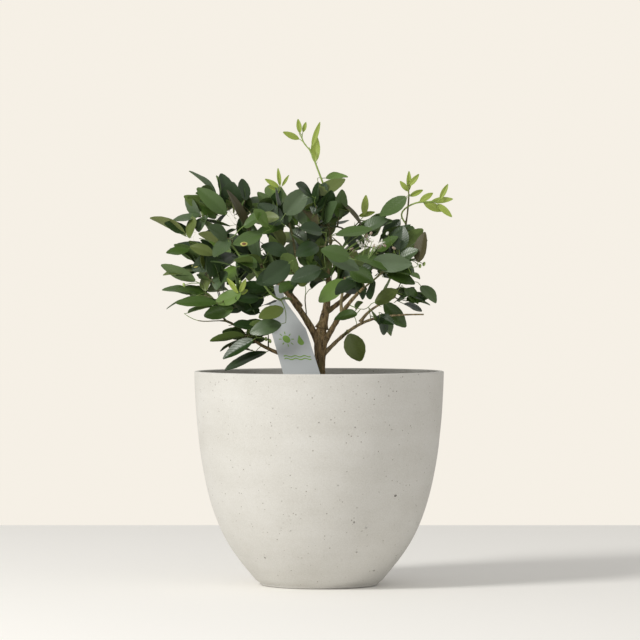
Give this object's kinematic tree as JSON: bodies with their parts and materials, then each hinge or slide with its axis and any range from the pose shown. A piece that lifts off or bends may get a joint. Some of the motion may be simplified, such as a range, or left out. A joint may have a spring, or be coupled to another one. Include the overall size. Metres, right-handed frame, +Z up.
{
  "type": "potted key lime tree",
  "caption": "Small citrus tree with a forked trunk and open leafy crown, in a tapered round concrete-look pot with potting mix and a blank-style plant label.",
  "frame": {"origin": "centre of the pot's flat underside, on the pot's axis", "axes": "+Z up along the pot's axis, -Y towards the pictured front, +X to the right in that view"},
  "size_m": [0.3388, 0.28, 0.5198],
  "materials": {
    "concrete": "pale warm grey cast concrete, matt, finely pitted",
    "potting_mix": "dark crumbly bark-based potting mix",
    "bark": "tan-brown bark with fine cracks",
    "young_wood": "smooth green young stem",
    "leaves": "leathery dark green leaves, soft gloss",
    "young_leaves": "thin yellow-green young leaves",
    "label_plastic": "pale blue-grey matt plastic"
  },
  "bodies": {
    "root": {"pot": "concrete", "soil": "potting_mix", "label": "label_plastic", "trunk": "bark", "bough_centre": "bark", "bough_centre_right": "bark", "bough_left": "bark", "bough_right": "bark", "bough_right_upright": "bark", "bough_lower_right": "bark", "bough_lower_right_branch": "bark", "bough_lower_left": "bark", "bough_back_left": "bark", "shoot_top": "young_wood", "foliage_left_tip": "leaves", "foliage_upper_left": "leaves", "foliage_left": "leaves", "foliage_left_low": "leaves", "foliage_low_centre": "leaves", "foliage_lower_left": "leaves", "foliage_centre_left": "leaves", "foliage_top_left": "leaves", "foliage_top": "leaves", "foliage_top_shoot": "young_leaves", "foliage_centre": "leaves", "foliage_upper_right": "leaves", "foliage_right_shoot": "young_leaves", "foliage_right": "leaves", "foliage_centre_right": "leaves", "foliage_lower_right": "leaves", "foliage_right_hanging": "leaves", "foliage_low_leaf": "leaves", "foliage_front_left": "leaves", "foliage_front_centre": "leaves", "foliage_front_right": "leaves", "foliage_back_left": "leaves", "foliage_back_centre": "leaves", "foliage_back_right": "leaves"}
  },
  "joints": []
}
